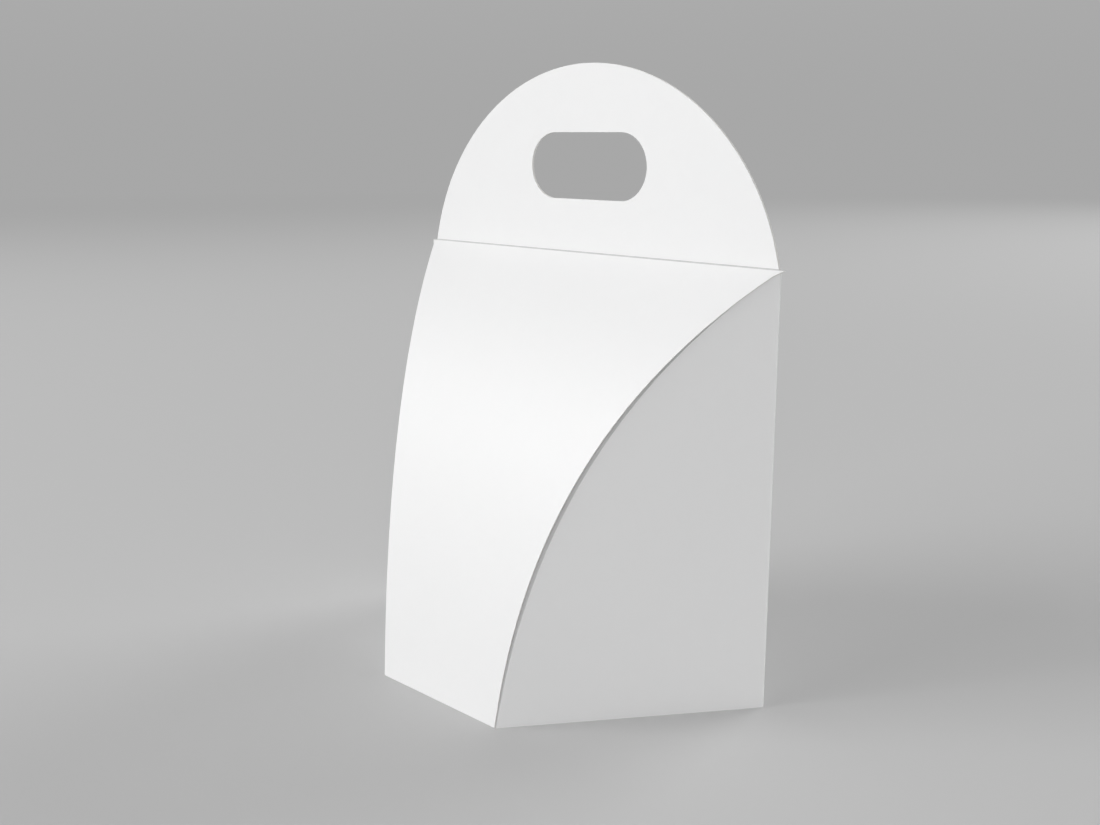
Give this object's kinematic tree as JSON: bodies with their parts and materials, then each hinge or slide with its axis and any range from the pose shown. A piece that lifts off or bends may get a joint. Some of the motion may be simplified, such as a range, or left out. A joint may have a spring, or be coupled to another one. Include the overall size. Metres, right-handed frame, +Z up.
{
  "type": "self-assembling box",
  "caption": "Folded card carton with slanted side panels whose curved front edges are folded in, a curved front flap that opens on its bottom fold, and a round-arched handle with a hand hole.",
  "frame": {"origin": "on the floor under the middle of the box, halfway between the bottom front fold and the outer face of the back panel", "axes": "+X along the handle's crease, to the right as seen from the front; -Y towards the front; +Z up"},
  "size_m": [0.2152, 0.095, 0.2719],
  "materials": {
    "white_card": "matte"
  },
  "bodies": {
    "body": {"carton_body": "white_card"},
    "lid": {"front_flap": "white_card"}
  },
  "joints": [
    {"name": "front_fold", "type": "hinge", "parent": "body", "child": "lid", "pos_m": [0, -0.0475, 0], "axis": [1, 0, 0], "range_deg": [0, 90]}
  ]
}
